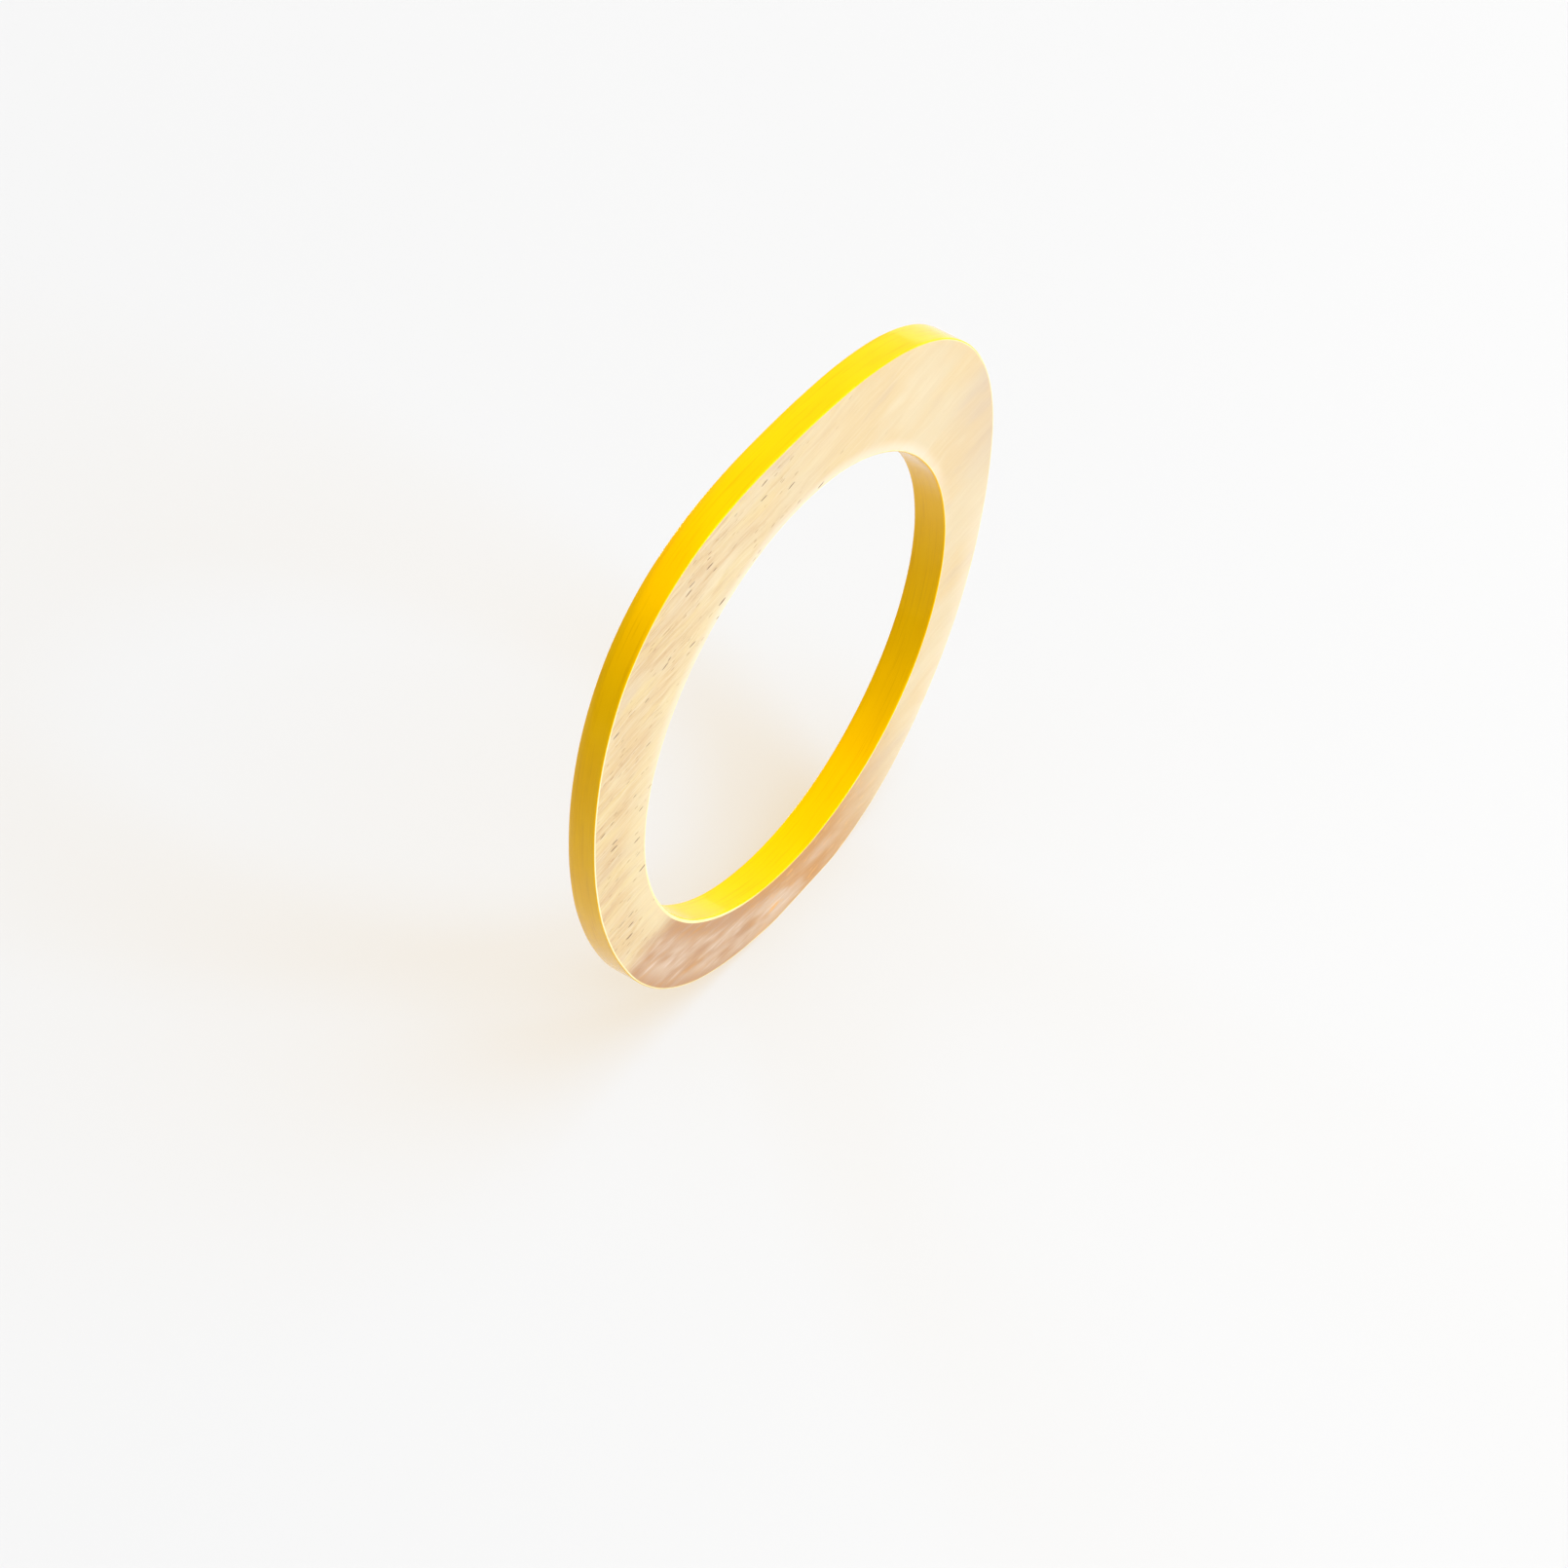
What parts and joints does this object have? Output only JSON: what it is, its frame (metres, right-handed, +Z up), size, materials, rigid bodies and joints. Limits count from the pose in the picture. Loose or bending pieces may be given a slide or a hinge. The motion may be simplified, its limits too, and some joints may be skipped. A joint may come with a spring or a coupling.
{
  "type": "bangle",
  "caption": "Slip-on bangle cut from a flat plate of polished blonde horn, with a round wrist hole, a softly squared outline and yellow lacquered rim walls.",
  "frame": {"origin": "middle of the base of the bounding box, on the surface that the bangle stands on", "axes": "+Z up through the wrist hole's height, +X across the wrist hole along the plate, -Y out of the plane front face"},
  "size_m": [0.0858, 0.005, 0.0856],
  "materials": {
    "horn": "natural blonde horn, buffed to a soft gloss, fine straight fibres and small dark pores",
    "ground_coat": "pale cream ground coat, rubbed smooth at its edge",
    "yellow_lacquer": "warm yellow lacquer, polished to a high gloss"
  },
  "bodies": {
    "root": {"horn_body": "horn", "outer_ground_coat": "ground_coat", "inner_ground_coat": "ground_coat", "outer_lacquer": "yellow_lacquer", "inner_lacquer": "yellow_lacquer"}
  },
  "joints": []
}
